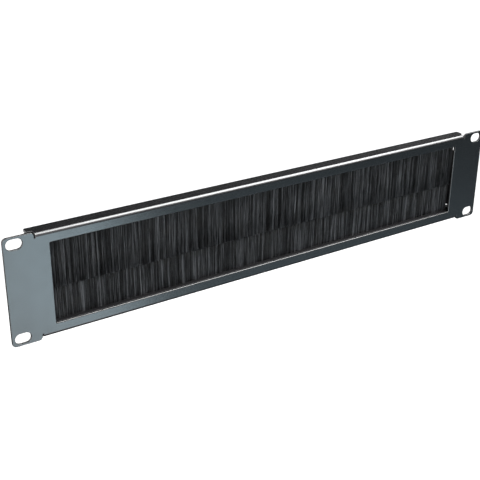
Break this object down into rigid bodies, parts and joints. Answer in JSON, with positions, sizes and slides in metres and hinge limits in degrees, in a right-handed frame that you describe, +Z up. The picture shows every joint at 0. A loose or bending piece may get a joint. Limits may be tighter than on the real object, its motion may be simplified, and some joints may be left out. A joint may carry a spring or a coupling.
{
  "type": "rack brush strip panel",
  "caption": "Low rack panel folded from sheet metal, with slotted ears and a wide cable aperture closed by overlapping upper and lower rows of bristles.",
  "frame": {"origin": "centre of the four-slot pattern, on the rear face of the ears, where the panel meets the rack rails", "axes": "+X along the panel to the right as seen from the front, +Y into the rack, so the front faces -Y, +Z up"},
  "size_m": [0.4826, 0.014, 0.0882],
  "materials": {
    "panel_black": "satin black powder coat with a fine texture",
    "holder_black": "black anodised extrusion",
    "channel_steel": "galvanised",
    "wire_steel": "drawn wire",
    "bristle_black": "black nylon filament",
    "plug_black": "moulded, matt",
    "clamp_black": "satin black powder coat",
    "stud_copper": "copper-flashed steel",
    "washer_zinc": "bright zinc plate",
    "nut_zinc": "bright zinc plate"
  },
  "bodies": {
    "root": {"panel": "panel_black", "upper_holder": "holder_black", "lower_holder": "holder_black", "upper_channel": "channel_steel", "lower_channel": "channel_steel", "upper_core_wire": "wire_steel", "lower_core_wire": "wire_steel", "upper_bristles": "bristle_black", "lower_bristles": "bristle_black", "upper_left_plug": "plug_black", "upper_right_plug": "plug_black", "lower_left_plug": "plug_black", "lower_right_plug": "plug_black", "left_clamp": "clamp_black", "right_clamp": "clamp_black", "weld_studs": "stud_copper", "flat_washers": "washer_zinc", "lock_washers": "washer_zinc", "hex_nuts": "nut_zinc"}
  },
  "joints": []
}
